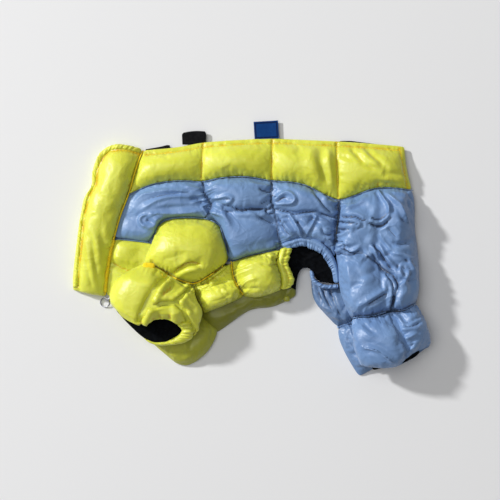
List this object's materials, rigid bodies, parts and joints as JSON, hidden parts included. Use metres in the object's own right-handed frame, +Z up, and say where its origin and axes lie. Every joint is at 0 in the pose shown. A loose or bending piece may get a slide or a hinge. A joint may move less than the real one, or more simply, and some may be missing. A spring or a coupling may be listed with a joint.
{
  "type": "dog thermal overalls",
  "caption": "Padded overalls for a small dog in yellow and blue-grey nylon, lying flat on their side.",
  "frame": {"origin": "middle of the garment's bounding box, on the surface that it lies on", "axes": "+X from collar to tail, +Y from belly to back opening, +Z up from the surface"},
  "size_m": [0.3588, 0.2572, 0.0435],
  "materials": {
    "yellow_nylon": "glossy coated nylon",
    "grey_nylon": "glossy coated nylon",
    "black_lining": "matte brushed lining",
    "black_webbing": "woven tape",
    "woven_label": "satin woven label",
    "steel_wire": "nickel plated"
  },
  "bodies": {
    "garment": {"collar": "yellow_nylon", "back_near": "yellow_nylon", "back_far": "yellow_nylon", "side_near": "grey_nylon", "side_far": "grey_nylon", "haunch_near": "grey_nylon", "haunch_far": "grey_nylon", "thigh_near_under": "grey_nylon", "chest_near": "yellow_nylon", "chest_far": "yellow_nylon", "belly_front_near": "yellow_nylon", "belly_rear_near": "yellow_nylon", "belly_far": "yellow_nylon", "sleeve_near_upper": "yellow_nylon", "sleeve_near_forearm": "yellow_nylon", "sleeve_near_cuff": "yellow_nylon", "sleeve_near_lining": "black_lining", "sleeve_far": "yellow_nylon", "leg_near_cuff": "grey_nylon", "leg_near_lining": "black_lining", "leg_far_upper": "grey_nylon", "leg_far_cuff": "grey_nylon", "leg_far_lining": "black_lining", "lining_opening": "black_lining", "casing_belly": "yellow_nylon", "casing_flank": "grey_nylon", "placket_far": "black_webbing", "webbing_tab": "black_webbing", "label": "woven_label", "ring_eye": "steel_wire"},
    "ring_body": {"ring": "steel_wire"}
  },
  "joints": [
    {"name": "ring_swing", "type": "hinge", "parent": "garment", "child": "ring_body", "pos_m": [-0.14371, -0.05061, 0.0032], "axis": [-0.7071, 0.7071, 0], "range_deg": [0, 110]}
  ]
}
